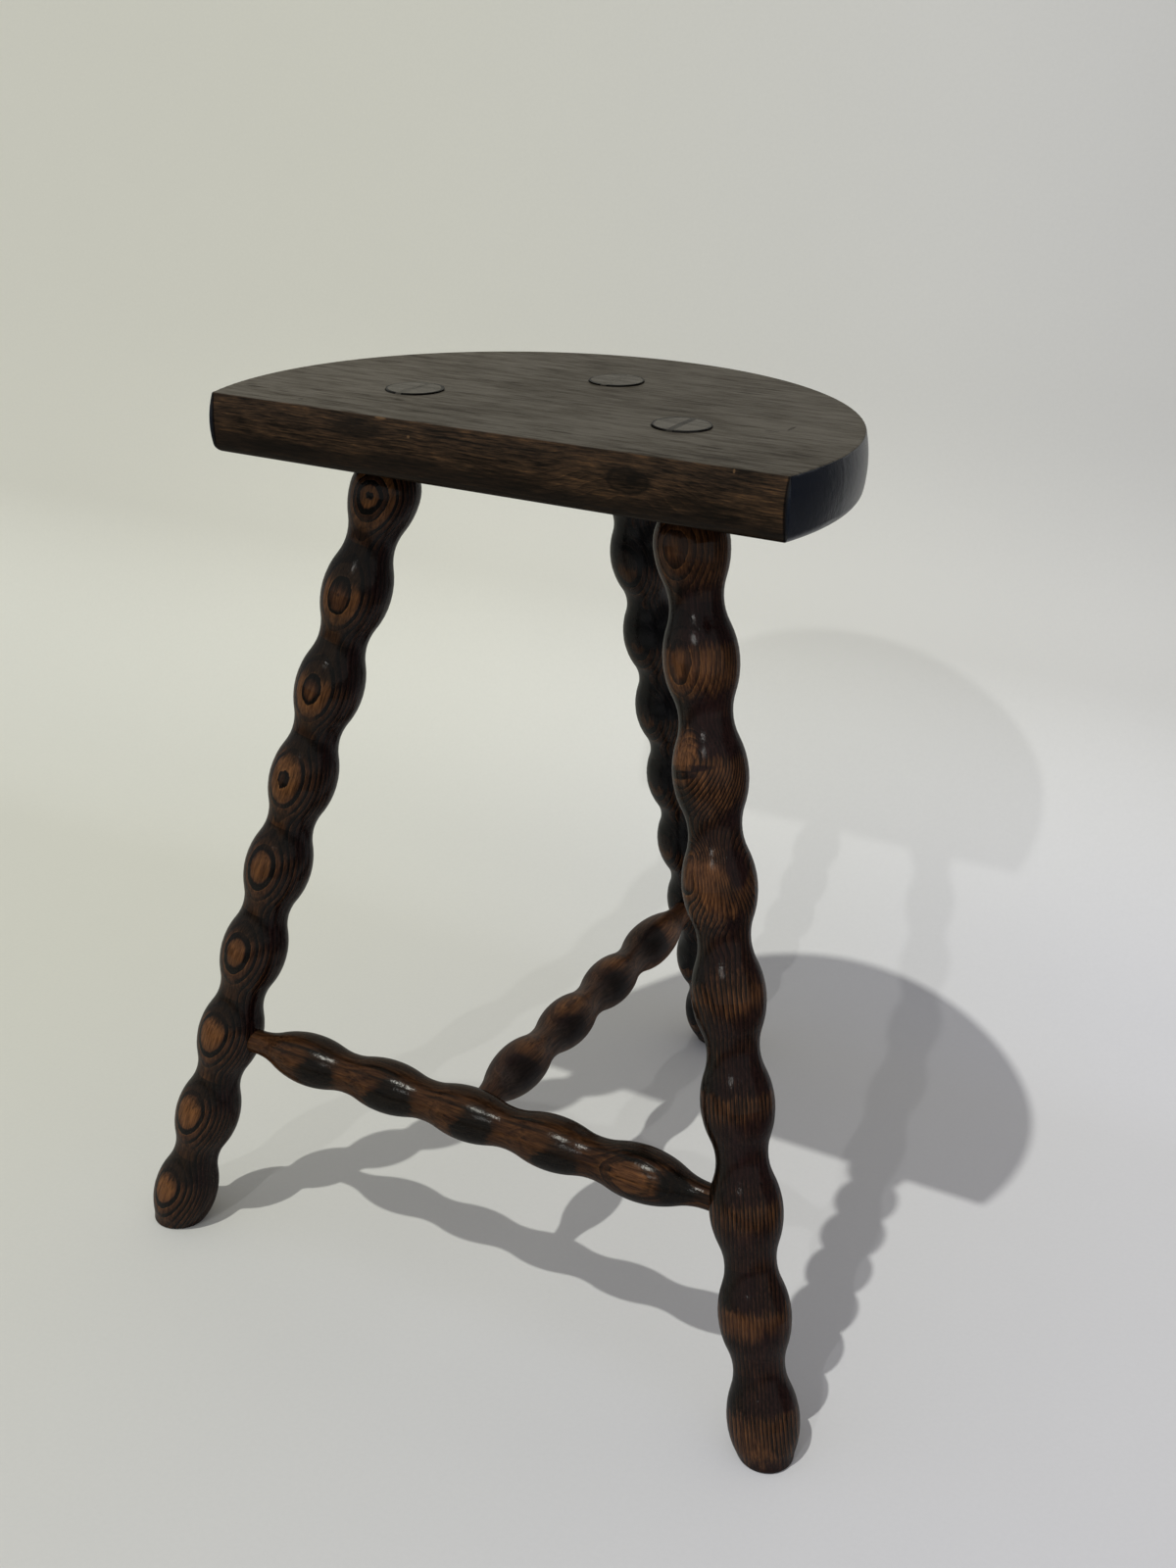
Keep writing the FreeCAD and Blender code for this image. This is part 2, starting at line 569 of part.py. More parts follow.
def make_seat():
    disc = new_body(
        "seat_disc",
        f"placement(vector(0; {SEAT_CENTRE}; {SEAT_UNDERSIDE}); rotation(vector(0; 0; 1); 0))")
    add_turning(disc, "seat_disc_turning", draw_seat_edge(disc, "seat_disc_profile", size("seat_radius")))

    # The front board starts behind the disc, and local X runs to the front.
    behind = f"({size('edge_bulge')} + {OVERRUN})"
    front = new_body(
        "seat_front_board",
        f"placement(vector(0; {SEAT_BACK} + {behind}; {SEAT_UNDERSIDE}); rotation(vector(0; 0; 1); -90))")
    board = front.newObject("PartDesign::Pad", "seat_front_pad")
    board_reach = f"({size('seat_depth')} + {behind})"
    board.Profile = (draw_seat_edge(front, "seat_front_profile", board_reach), [""])
    board.SideType = "Symmetric"
    board.setExpression("Length", f"2 * ({size('seat_radius')} + {behind})")

    plank = common("seat_plank", disc, front)
    mortises = doc.addObject("Part::MultiFuse", "seat_mortises")
    mortises.Shapes = [make_mortise(leg_name, leg) for leg_name, leg in LEGS.items()]
    cut("seat", plank, mortises)


def make_mortise(leg_name, leg):
    below = f"({size('seat_thickness')} * {leg['length']} / {HEIGHT} + {TENON_ABOVE})"
    return add_cylinder(
        f"mortise_{leg_name}", f"{LEG_TENON} + {CLEARANCE}", f"{below} + {TENON_ABOVE}",
        leg_placement(leg, below))


make_seat()
doc.recompute()

NODES = [
    "seat",
    *(f"leg_{leg_name}" for leg_name in LEGS),
    *(f"wedge_{leg_name}" for leg_name in LEGS),
    "front_stretcher",
    "mid_stretcher",
]
broken = [item.Name for item in doc.Objects if {"Invalid", "Error"} & set(item.State)]
if broken:
    raise RuntimeError(f"objects failed to compute: {broken}")
pieces = {name: doc.getObject(name) for name in NODES}
for name, piece in pieces.items():
    if piece.Shape.isNull() or not piece.Shape.isValid() or len(piece.Shape.Solids) != 1:
        raise RuntimeError(f"{name} is not one sound solid")

os.makedirs("parts", exist_ok=True)
for name, piece in pieces.items():
    piece.Label = name
    piece.Shape.exportStep(f"parts/{name}.step")
    print(name, f"{piece.Shape.Volume:.0f} mm3")
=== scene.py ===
import math

import bpy
from mathutils import Matrix, Vector

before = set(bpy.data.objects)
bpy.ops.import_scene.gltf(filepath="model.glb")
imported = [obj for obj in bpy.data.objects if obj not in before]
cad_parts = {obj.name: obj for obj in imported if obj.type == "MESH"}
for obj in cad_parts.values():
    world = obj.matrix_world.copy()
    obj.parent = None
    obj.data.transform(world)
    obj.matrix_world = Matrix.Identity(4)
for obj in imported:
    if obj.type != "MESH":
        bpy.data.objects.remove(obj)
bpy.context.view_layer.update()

# A three-legged stool: a half-round plank seat on splayed bobbin legs, tied by two turned stretchers.
# Metres, +Z up, the seat's straight front towards -Y, as in the frame. The stool's pieces come from the frame and
# are only painted here. What stands round them is the paper, the floor behind it, two lamps and the camera.

# The seat and the turnings, as they were laid out.
SEAT_HEIGHT = 0.450
SEAT_THICKNESS = 0.028
SEAT_MIDDLE = SEAT_HEIGHT - SEAT_THICKNESS / 2
SEAT_BOTTOM = SEAT_HEIGHT - SEAT_THICKNESS
SEAT_RADIUS = 0.1483
SEAT_FRONT = -0.12395
SEAT_DEPTH = 0.1882
SEAT_CENTRE = SEAT_FRONT + SEAT_DEPTH - SEAT_RADIUS
TENON_RADIUS = 0.013
FRONT_TENON = Vector((0.069, SEAT_FRONT + 0.055, SEAT_HEIGHT))
REAR_TENON = Vector((0, SEAT_FRONT + 0.1246, SEAT_HEIGHT))
FRONT_SPLAY = Vector((0.1073, -0.0901, -SEAT_HEIGHT))
REAR_SPLAY = Vector((0, 0.1601, -SEAT_HEIGHT))
LEG_BOBBINS = 9
LEG_FIRST_CREST = 0.0503
LEG_PITCH = 0.05029
LEG_CREST_RADIUS = 0.017
STRETCHER_BOBBIN = 7
STRETCHER_DISTANCE = LEG_FIRST_CREST + (STRETCHER_BOBBIN - 1) * LEG_PITCH
FRONT_STRETCHER_BOBBINS = 5
FRONT_STRETCHER_PITCH = 0.0476
FRONT_STRETCHER_CREST_RADIUS = 0.0135
MID_STRETCHER_BOBBINS = 4
MID_STRETCHER_FIRST_CREST = 0.0478
MID_STRETCHER_PITCH = 0.0484
MID_STRETCHER_CREST_RADIUS = 0.01285

MILLIMETRE = 0.001

# The backdrop: a sheet whose floor bends up into a wall.
PAPER_SIZE = 12.0
PAPER_FRONT = -6.0
PAPER_WALL = 0.381
PAPER_BEND = 0.207
BEND_FACES = 32
PAPER_LEVEL = 0.725
PAPER_BOUNCE = (0.60, 0.58, 0.52)
MIRROR_DIMMING = 0.72
FLOOR_DROP = 0.0005

# How wide each lamp looks from the stool, which softens the edges of the shadows.
LAMP_SPREAD = math.radians(0.9)

# The sky's colour as light on the stool, and as seen beyond the paper or mirrored in the varnish.
SKY_LIGHT = (0.378, 0.380, 0.408)
SKY_SEEN = (0.58, 0.585, 0.57)


def mirrored(vector):
    return Vector((-vector.x, vector.y, vector.z))


class Finish:
    """A material's nodes, added one after another."""

    def __init__(self, name, kind=bpy.data.materials):
        self.material = kind.new(name)
        self.material.use_nodes = True
        self.tree = self.material.node_tree
        self.tree.nodes.clear()

    def add(self, kind, inputs=None, output=0, **settings):
        node = self.tree.nodes.new("ShaderNode" + kind)
        for name, value in settings.items():
            setattr(node, name, value)
        for name, value in (inputs or {}).items():
            self.feed(node.inputs[name], value)
        return node.outputs[output] if node.outputs else None

    def feed(self, socket, value):
        if isinstance(value, bpy.types.NodeSocket):
            self.tree.links.new(value, socket)
        else:
            socket.default_value = value

    def math(self, operation, *values, clamp=False):
        return self.add("Math", dict(enumerate(values)), operation=operation, use_clamp=clamp)

    def sum(self, *values):
        total = values[0]
        for value in values[1:]:
            total = self.math("ADD", total, value)
        return total

    def times(self, *values):
        product = values[0]
        for value in values[1:]:
            product = self.math("MULTIPLY", product, value)
        return product

    def without(self, share):
        return self.math("SUBTRACT", 1.0, share)

    def less(self, value, taken):
        return self.math("SUBTRACT", value, taken)

    def largest(self, *values):
        found = values[0]
        for value in values[1:]:
            found = self.math("MAXIMUM", found, value)
        return found

    def length(self, first, second):
        return self.math("SQRT", self.sum(self.times(first, first), self.times(second, second)))

    def fade(self, value, start, end, low=0.0, high=1.0):
        """A smooth rise from low at start to high at end."""
        inputs = {"Value": value, "From Min": start, "From Max": end, "To Min": low, "To Max": high}
        return self.add("MapRange", inputs, interpolation_type="SMOOTHSTEP")

    def parts(self, vector):
        node = self.tree.nodes.new("ShaderNodeSeparateXYZ")
        self.feed(node.inputs[0], vector)
        return node.outputs

    def vector(self, x=0.0, y=0.0, z=0.0):
        return self.add("CombineXYZ", {"X": x, "Y": y, "Z": z})

    def stretch(self, vector, x, y, z):
        return self.add("Mapping", {"Vector": vector, "Scale": (x, y, z)})

    def noise(self, vector, scale, detail=2.0, rough=0.5):
        """Noise around zero, about half a unit either way."""
        inputs = {"Vector": vector, "Scale": scale, "Detail": detail, "Roughness": rough}
        return self.less(self.add("TexNoise", inputs), 0.5)

    def noise_along_x(self, vector, along, scale, detail, rough):
        """Noise drawn out along X: the smaller along is, the longer its streaks."""
        return self.noise(self.stretch(vector, along, 1, 1), scale, detail, rough)

    def ramp(self, value, stops):
        """Colours or greys at places from 0 to 1."""
        node = self.tree.nodes.new("ShaderNodeValToRGB")
        elements = node.color_ramp.elements
        for place, _ in stops[2:]:
            elements.new(place)
        for element, (place, colour) in zip(elements, stops):
            element.position = place
            element.color = (*colour, 1.0) if hasattr(colour, "__len__") else (colour, colour, colour, 1.0)
        self.feed(node.inputs[0], value)
        return node.outputs[0]

    def curve(self, value, heights):
        """A smooth curve through evenly spaced heights, over values from 0 to 1."""
        lowest = min(heights)
        spread = max(heights) - lowest or 1.0
        node = self.tree.nodes.new("ShaderNodeFloatCurve")
        points = node.mapping.curves[0].points
        for _ in heights[2:]:
            points.new(0.5, 0.5)
        for index, height in enumerate(heights):
            points[index].location = (index / (len(heights) - 1), (height - lowest) / spread)
        node.mapping.update()
        self.feed(node.inputs["Value"], value)
        return self.sum(self.times(node.outputs[0], spread), lowest)

    def mix(self, share, first, second, blend="MIX"):
        node = self.tree.nodes.new("ShaderNodeMix")
        node.data_type = "RGBA"
        node.blend_type = blend
        for name, value in (("Factor_Float", share), ("A_Color", first), ("B_Color", second)):
            socket = next(socket for socket in node.inputs if socket.identifier == name)
            if name != "Factor_Float" and isinstance(value, tuple):
                value = (*value, 1.0)
            self.feed(socket, value)
        return next(socket for socket in node.outputs if socket.identifier == "Result_Color")

    def lighten(self, colour, factor):
        return self.mix(1.0, colour, self.vector(factor, factor, factor), "MULTIPLY")

    def seen_or_mirrored(self):
        """1 where the camera sees this, straight or in a gloss or glass, and 0 where it only gives light."""
        return self.largest(*(
            self.add("LightPath", output="Is " + ray) for ray in ("Camera Ray", "Glossy Ray", "Transmission Ray")))

    def shade(self, colour, roughness, height, **constants):
        """Ends the material with a shader and a bump whose height is in millimetres."""
        bump = self.add("Bump", {"Height": height, "Distance": MILLIMETRE, "Strength": 1.0})
        inputs = {"Base Color": colour, "Roughness": roughness, "Normal": bump, "Coat Normal": bump}
        for name, value in constants.items():
            inputs[name.replace("_", " ")] = value
        shader = self.add("BsdfPrincipled", inputs)
        self.add("OutputMaterial", {"Surface": shader})
        return self.material


# Old varnished softwood, from the bright edge of a growth ring to the black of its summer wood.
RING_EDGE = (0.094, 0.045, 0.018)
SPRING_WOOD = (0.087, 0.037, 0.0132)
BROWN_WOOD = (0.0290, 0.0124, 0.0064)
SUMMER_WOOD = (0.0044, 0.0030, 0.0023)
BLACK_WOOD = (0.0022, 0.0018, 0.0016)

OLIVE_STAIN = (0.0050, 0.0042, 0.0033)
PURPLE_STAIN = (0.0112, 0.0045, 0.0047)
BLUE_BLACK_STAIN = (0.0015, 0.0020, 0.0031)
HEART_STAIN = (0.0036, 0.0029, 0.0032)
# A painted sheen: the grey laid on the mid stretcher's necks.
NECK_GREY_SHEEN = (0.0290, 0.0215, 0.0190)
TENON_RIM = (0.006, 0.005, 0.004)

# In millimetres of growth round a crest's marked ring: where the thick rings of an eye start and end, and where the
# count of the finer rings starts. CALM_WOOD is how dark the wood is where no ring shows.
EYE_BEFORE, EYE_AFTER = 4.0, 6.0
FINE_FROM = 4.5
CALM_WOOD = 0.36


class TurnedWood(Finish):
    """One turning's wood. Z runs along it, X to its front side; degrees turn from X about Z.

    A place on it is a bobbin, counted from 1, the millimetres past that bobbin's crest, and the degrees.
    """

    def __init__(self, name, origin, along, face, first_crest, pitch, crest_radius, bobbins, seed):
        super().__init__(name)
        self.first_crest, self.pitch, self.crest_radius = first_crest, pitch, crest_radius

        z_axis = along.normalized()
        x_axis = (face - z_axis * face.dot(z_axis)).normalized()
        turn = Matrix((x_axis, z_axis.cross(x_axis), z_axis)).transposed().to_euler()
        self.room = self.add("TexCoord", output="Object")
        self.here = self.add(
            "Mapping", {"Vector": self.room, "Location": origin, "Rotation": turn}, vector_type="TEXTURE")
        self.x, self.y, self.z = self.parts(self.here)
        self.seeded = self.add("VectorMath", {0: self.here, 1: (seed, seed, seed)}, operation="ADD")
        self.angle = self.math("ARCTAN2", self.y, self.x)

        # Which bobbin this is, 0 for the first one, and the place in it, 0 at its crest.
        self.bobbin = self.math("DIVIDE", self.less(self.z, first_crest), pitch)
        self.in_bobbin = self.less(self.bobbin, self.math("ROUND", self.bobbin))
        self.along_piece = self.math("DIVIDE", self.bobbin, bobbins - 1.0, clamp=True)

        # The grain, from the finest lines to the clouds of the old varnish.
        self.fibre = self.noise_along(0.035, 1900, 3, 0.6)
        self.thread = self.noise_along(0.07, 820, 4, 0.7)
        self.streak = self.noise_along(0.12, 480, 4, 0.62)
        self.blotch = self.noise(self.seeded, 42, 3, 0.6)

    def noise_along(self, along, scale, detail, rough=0.5):
        """Noise drawn out along the turning: the smaller along is, the longer its streaks."""
        return self.noise(self.stretch(self.seeded, 1, 1, along), scale, detail, rough)

    def past_place(self, bobbin, past):
        """Metres along the turning from a place some millimetres past a bobbin's crest."""
        place = self.first_crest + (bobbin - 1) * self.pitch + past * math.copysign(MILLIMETRE, self.pitch)
        return self.less(self.z, place)

    def spot(self, bobbin, past, degrees, length, width, ragged=0.5, soft=0.2):
        """A patch round a place; half its length and half its width are in millimetres."""
        up = self.times(self.past_place(bobbin, past), 1 / (length * MILLIMETRE))
        around = self.times(
            self.less(self.angle, math.radians(degrees)), self.crest_radius / (width * MILLIMETRE))
        away = self.sum(self.length(up, around), self.times(self.streak, ragged))
        return self.fade(away, 1 - soft, 1 + soft, 1.0, 0.0)

    def spots(self, ragged, soft, places):
        """Patches, each a place, half a length, half a width and a share."""
        return [
            self.times(self.spot(bobbin, past, degrees, length, width, ragged, soft), share)
            for bobbin, past, degrees, length, width, share in places]

    def knot(self, bobbin, past, degrees, size, strength):
        """Growth pushed out, in millimetres, around a knot."""
        return self.times(self.spot(bobbin, past, degrees, size, size, 0.0, 0.95), strength)

    def lean(self, bobbin, past, degrees, size, slope):
        """Growth lines tilted within a patch, by slope millimetres for each millimetre down the turning."""
        down = self.times(self.past_place(bobbin, past), math.copysign(slope / MILLIMETRE, self.pitch))
        return self.times(self.spot(bobbin, past, degrees, size, size, 0.0, 0.6), down)

    def rings(
            self, crest_rings, face_turns, lift=(0.0, 0.0), wander=0.45, rippled=0.9, fine_width=2.3, knots=(),
            calm=0.0, fine_dark=0.0):
        """How far the summer wood shows: every bobbin cuts the growth rings into an eye on its face side.

        crest_rings says, in millimetres of growth, which ring each crest has reached, and face_turns, in
        degrees, where the eye lies; lift moves the first and the last eye along the turning. wander bends the
        rings, and rippled is the fine share of that. Where calm is, the rings give way to plain brown wood.
        """
        turn = self.times(self.curve(self.along_piece, face_turns), math.radians(1.0))
        toward_face = self.sum(
            self.times(self.x, self.math("COSINE", turn)), self.times(self.y, self.math("SINE", turn)))
        depth = self.times(self.less(self.crest_radius, toward_face), 1 / MILLIMETRE)
        lifted = self.times(
            self.math("SINE", self.times(self.in_bobbin, 2 * math.pi)),
            self.sum(self.times(self.along_piece, lift[1] - lift[0]), lift[0]))
        wandering = self.times(self.noise_along(0.5, 60, 2), wander)
        ripple = self.times(self.noise_along(0.25, 420, 3), wander * rippled)
        growth = self.sum(depth, self.curve(self.along_piece, crest_rings), lifted, wandering, ripple, *knots)

        # Thick uneven rings near the crests, then finer ones.
        eye = self.ramp(self.math("DIVIDE", self.sum(growth, EYE_BEFORE), EYE_BEFORE + EYE_AFTER, clamp=True), [
            (0.00, 0.60), (0.14, 0.60), (0.18, 0.95), (0.268, 1.0), (0.270, 0.10), (0.32, 0.22), (0.330, 0.34),
            (0.342, 0.94), (0.405, 1.0), (0.410, 0.40), (0.43, 0.62), (0.48, 0.66), (0.50, 0.88), (0.533, 0.98),
            (0.536, 0.0), (0.555, 0.24), (0.66, 0.30), (0.725, 0.42), (0.755, 0.94), (0.846, 1.0), (0.849, 0.10),
            (0.862, 0.50), (1.0, 0.64)])
        ring_share = self.math("FRACT", self.math("DIVIDE", self.less(growth, FINE_FROM), fine_width))
        fine = self.ramp(ring_share, [
            (0.0, 0.20), (0.08, 0.42), (0.5, 0.58), (0.66, 0.82), (0.93, 0.98), (0.97, 0.30), (1.0, 0.20)])
        fine = self.sum(fine, fine_dark)
        deep = self.fade(growth, EYE_AFTER - 0.8, EYE_AFTER)
        late = self.sum(self.times(eye, self.without(deep)), self.times(fine, deep))
        late = self.sum(self.times(late, self.without(calm)), self.times(calm, CALM_WOOD))
        self.late = self.math("ADD", late, self.times(self.streak, 0.62), clamp=True)

    def cover(self, band, above, below, base, blotch, edge=0.06, end=0.09, dark=(), bare=(), most=0.9):
        """The share of the dark stain: above and below each bobbin's worn band, in spots and in blotches."""
        place = self.sum(self.in_bobbin, self.times(self.streak, 0.34), self.times(self.thread, 0.10))
        over = self.fade(self.less(place, band[0]), -edge, edge / 2, 1.0, 0.0)
        under = self.fade(self.less(place, band[1]), -end, end)
        share = self.sum(
            self.times(over, above), self.times(under, below), self.times(self.blotch, blotch), base, *dark)
        for spot in bare:
            share = self.less(share, spot)
        return self.math("MINIMUM", self.largest(share, 0.0), most)

    def varnish(self, cover, stain, tone=1.0, **gloss):
        """The wood's colour under its stain, and a rubbed, slightly uneven gloss."""
        colour = self.ramp(self.late, [
            (0.0, RING_EDGE), (0.15, SPRING_WOOD), (0.52, BROWN_WOOD), (0.84, SUMMER_WOOD), (1.0, BLACK_WOOD)])
        grain = self.sum(self.times(self.fibre, 2.0), self.times(self.thread, 2.8), self.times(self.blotch, 0.9), 1.0)
        grain = self.largest(grain, 0.25)
        colour = self.lighten(colour, self.times(grain, tone))
        stained = self.lighten(stain, self.times(grain, self.sum(self.times(self.late, -0.85), 1.35)))
        colour = self.mix(cover, colour, stained)
        dents = self.noise(self.seeded, 130, 3, 0.55)
        pimples = self.noise(self.seeded, 750, 3, 0.6)
        height = self.sum(
            self.times(self.late, -0.03), self.times(dents, 0.20), self.times(pimples, 0.095),
            self.times(self.thread, 0.02))
        roughness = self.sum(self.times(self.blotch, 0.15), self.times(self.fibre, 0.12), 0.38)
        settings = {"Coat_Weight": 0.28, "Coat_Roughness": 0.15, "Specular_IOR_Level": 0.0, **gloss}
        return colour, roughness, height, settings


def leg_wood(name, origin, splay, seed):
    """A leg's wood: its bobbins are counted from the seat down, and its face looks to the front."""
    return TurnedWood(
        name, origin, -splay, Vector((0.0, -1.0, 0.0)), -LEG_FIRST_CREST, -LEG_PITCH, LEG_CREST_RADIUS, LEG_BOBBINS,
        seed)


def finish_leg(wood, origin, colour, roughness, height, settings):
    """The leg's tenon shows in the seat's top: matt and grey like the board, black at its rim."""
    x, y, z = wood.parts(wood.room)
    from_axis = wood.length(wood.less(x, origin.x), wood.less(y, origin.y))
    rim = wood.fade(from_axis, TENON_RADIUS - 0.0009, TENON_RADIUS - 0.0003)
    top = wood.mix(rim, board_top_colour(wood, wood.room, 0.92), TENON_RIM)
    on_top = wood.math("GREATER_THAN", z, SEAT_HEIGHT - 0.002)
    colour = wood.mix(on_top, colour, top)
    roughness = wood.math("ADD", roughness, wood.times(on_top, 0.15))
    height = wood.times(height, wood.without(on_top))
    return wood.shade(colour, roughness, height, **settings)


def left_leg_wood():
    """Clear oval eyes down the front, darker and reddish on its right side."""
    origin = mirrored(FRONT_TENON)
    wood = leg_wood("left_leg_wood", origin, mirrored(FRONT_SPLAY), seed=0.0)
    cores = wood.sum(
        wood.times(wood.spot(2, 2.7, 4, 5.5, 4.0, 0.6, 0.3), 0.5),
        wood.times(wood.spot(3, 0.5, 0, 4.2, 3.0, 1.0, 0.4), 0.95),
        wood.times(wood.spot(4, -1.4, -6, 3.2, 2.2, 0.8, 0.4), 0.35))
    between_eyes = wood.times(
        wood.fade(wood.math("ABSOLUTE", wood.in_bobbin), 0.20, 0.30), wood.fade(wood.angle, 0.60, 0.30), 0.60)
    wood.rings(
        [-1.46, 0.08, 0.40, 1.02, 2.35, 2.60, 1.90, 2.00, 2.35], [6, 2, 0, -4, -2, -3, -6, -9, -13],
        (-0.5, 1.6), calm=wood.largest(cores, between_eyes), fine_dark=0.16)
    right_side = wood.fade(wood.angle, math.radians(38), math.radians(80), 0.0, 0.45)
    left_side = wood.fade(wood.angle, math.radians(-35), math.radians(-75), 0.0, 0.3)
    worn_from = wood.curve(wood.along_piece, [-0.25, -0.06, -0.10, -0.24, -0.22, -0.20, -0.20, -0.20, -0.20])
    cover = wood.cover((worn_from, 0.28), 0.88, 0.50, 0.04, 1.0, edge=0.10, dark=[right_side, left_side])
    stain = wood.mix(wood.fade(wood.angle, 0.5, 1.1), OLIVE_STAIN, PURPLE_STAIN)
    tone = wood.sum(wood.times(wood.along_piece, 0.72), 1.24)
    return finish_leg(wood, origin, *wood.varnish(cover, stain, tone))


def right_leg_wood():
    """Two small eyes, a swirl with cracks, then fine straight rings with a bright ragged band at each crest."""
    wood = leg_wood("right_leg_wood", FRONT_TENON, FRONT_SPLAY, seed=0.7)
    knots = [
        wood.knot(4, -9, 57, 13, 9.0), wood.knot(5, -12, -20, 16, 4.0), wood.lean(3, 6, 20, 20, 0.42),
        wood.lean(4, -4, -8, 14, -0.36), wood.lean(4, 10, 10, 14, 0.40)]
    plain_patch = wood.times(wood.spot(3, -9, -38, 13, 15, 0.8, 0.4), 0.9)
    eyes = wood.largest(wood.spot(1, 2, 0, 5, 2.0, 1.2, 0.4), wood.spot(2, 0, -8, 7, 2.8, 0.8, 0.4))
    first_bobbins = wood.fade(wood.bobbin, 1.2, 1.8, 0.38, 0.0)
    clouds = wood.times(wood.fade(wood.blotch, -0.04, 0.14), 0.60)
    wood.rings(
        [6.78, 6.80, 8.2, 8.8, 9.5, 11.0, 12.0, 13.0, 13.5], [0, -8, -28, -44, -56, -60, -62, -64, -66],
        wander=1.3, rippled=0.5, fine_width=1.8, knots=knots,
        calm=wood.largest(plain_patch, wood.times(eyes, 0.75), first_bobbins, clouds))
    bare = wood.spots(1.2, 0.4, (
        (1, -2, 0, 13, 12, 0.40), (1, 6, 40, 14, 12, 0.25), (2, 5, 5, 9, 22, 0.70), (3, -11, -22, 10, 9, 1.1),
        (3, 5, 32, 13, 9, 0.80), (4, -7, -2, 12, 13, 1.1), (4, 7, 8, 11, 12, 0.9), (5, -5, 40, 9, 12, 0.45),
        (6, -1, 15, 5, 9, 0.45), (7, -1, 30, 5, 12, 0.40), (8, 0, -10, 7, 13, 0.60), (9, 7, 20, 10, 20, 0.55)))
    cracks = [
        wood.times(wood.spot(bobbin, past, degrees, length, width, ragged, 0.35), share)
        for bobbin, past, degrees, length, width, ragged, share in (
            (3, -4.5, -12, 1.7, 15, 0.8, 1.4), (3, -1.5, -25, 1.8, 10, 0.8, 1.4), (3, 9, -30, 6, 8, 1.0, 0.6),
            (4, -9, 57, 8, 5.0, 0.6, 1.0), (4, 1, 5, 1.3, 11, 1.2, 0.9), (4, 13, 20, 5, 14, 1.2, 0.5))]
    band_end = wood.curve(wood.along_piece, [0.34, 0.30, 0.22, 0.28, 0.08, 0.03, 0.08, 0.04, 0.26])
    over = wood.curve(wood.along_piece, [0.55, 1.0, 0.80, 0.60, 0.85, 0.80, 0.80, 0.90, 0.85])
    cover = wood.cover(
        (-0.13, band_end), over, 0.66, 0.08, 1.7, edge=0.05, end=0.12, dark=cracks, bare=bare, most=0.95)
    stain = wood.mix(wood.fade(wood.angle, -0.6, 0.4), OLIVE_STAIN, PURPLE_STAIN)
    glow = wood.spots(0.8, 0.6, (
        (1, 6, -10, 9, 8, 0.4), (2, 3, 0, 8, 15, 0.7), (3, -11, -22, 9, 8, 1.1), (3, 5, 30, 12, 9, 0.7),
        (4, -7, -4, 9, 10, 0.8), (4, 9, 5, 7, 12, 0.6), (5, 0, 30, 5, 12, 0.4)))
    tone = wood.sum(wood.times(wood.along_piece, 0.46), 1.02, *glow)
    return finish_leg(wood, FRONT_TENON, *wood.varnish(cover, stain, tone))


def rear_leg_wood():
    """Nearly black, with a dull ribbed band below each crest."""
    wood = leg_wood("rear_leg_wood", REAR_TENON, REAR_SPLAY, seed=1.9)
    wood.rings(
        [2.8, 2.2, 3.0, 2.6, 2.5, 2.2, 1.8, 1.4, 1.0], [-6, -5, -8, -16, -22, -26, -28, -30, -30],
        (1.0, 2.0), wander=0.6, fine_width=1.9)
    cover = wood.cover((-0.06, 0.32), 0.50, 0.30, 0.42, 0.8, edge=0.04, most=0.97)
    tone = wood.sum(wood.times(wood.along_piece, 0.5), 0.86)
    return finish_leg(wood, REAR_TENON, *wood.varnish(cover, BLUE_BLACK_STAIN, tone, Coat_Roughness=0.22))


FRONT_JOINT = FRONT_TENON + FRONT_SPLAY.normalized() * STRETCHER_DISTANCE
REAR_JOINT = REAR_TENON + REAR_SPLAY.normalized() * STRETCHER_DISTANCE
STRETCHER_MIDDLE = Vector((0.0, FRONT_JOINT.y, FRONT_JOINT.z))

# A worn band as long as a bobbin and more, so that no stain lies above or below it.
NO_BAND = (-0.6, 0.6)


